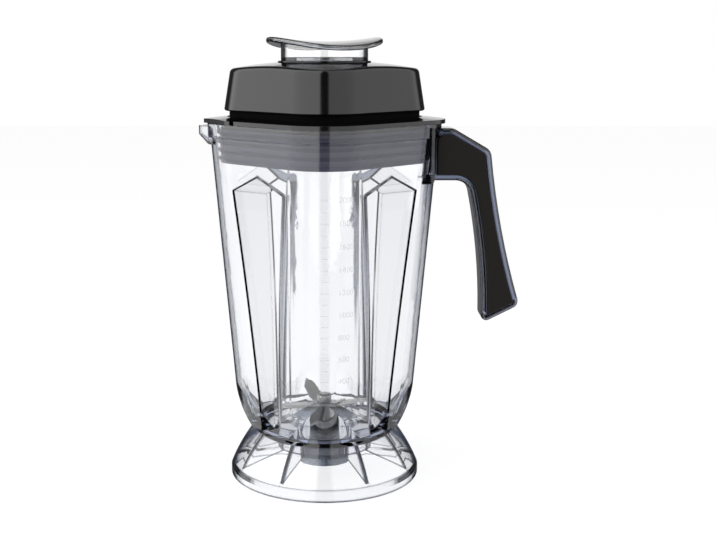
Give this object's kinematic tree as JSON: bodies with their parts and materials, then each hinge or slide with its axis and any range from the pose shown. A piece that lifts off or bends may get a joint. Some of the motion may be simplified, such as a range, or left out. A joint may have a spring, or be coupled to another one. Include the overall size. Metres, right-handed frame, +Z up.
{
  "type": "blender jar",
  "caption": "Square clear blender jar with fluted sides, pouring lip, inlaid pistol handle, black plug lid with clear saddle stopper, and a bearing-mounted blade unit in its floor.",
  "frame": {"origin": "on the jar's axis, at the mouth of the skirt socket, in the plane that the foot skirt stands on", "axes": "+Z up along the jar and blade axis, +X towards the handle, -X towards the pouring lip"},
  "size_m": [0.2402, 0.1796, 0.3329],
  "materials": {
    "clear_jar": "clear polycarbonate",
    "clear_cap": "clear polycarbonate",
    "soft_grip": "matt soft plastic",
    "black_lid": "high gloss",
    "lid_rubber": "matt",
    "seal_rubber": "matt",
    "steel": "turned",
    "blade_steel": "polished stainless steel"
  },
  "bodies": {
    "jar": {"jar_body": "clear_jar", "filler_cap": "clear_cap", "handle_grip_front": "soft_grip", "handle_grip_rear": "soft_grip", "lid_cover": "black_lid", "lid_gasket": "lid_rubber", "floor_gasket": "seal_rubber", "shaft_seal": "seal_rubber", "nut_washer": "seal_rubber", "bearing_housing": "steel", "lock_nut": "steel", "circlip": "steel", "outer_spacer": "steel", "upper_bearing_outer": "steel", "lower_bearing_outer": "steel"},
    "rotor": {"drive_shaft": "steel", "drive_spline": "steel", "seal_sleeve": "steel", "upper_bearing_inner": "steel", "lower_bearing_inner": "steel", "inner_spacer": "steel", "lower_blade": "blade_steel", "middle_blade": "blade_steel", "upper_blade": "blade_steel", "blade_lock_washer": "steel", "blade_cap_nut": "blade_steel"}
  },
  "joints": [
    {"name": "blade_spin", "type": "hinge", "parent": "jar", "child": "rotor", "pos_m": [0, 0, 0.05], "axis": [0, 0, 1], "continuous": true}
  ]
}
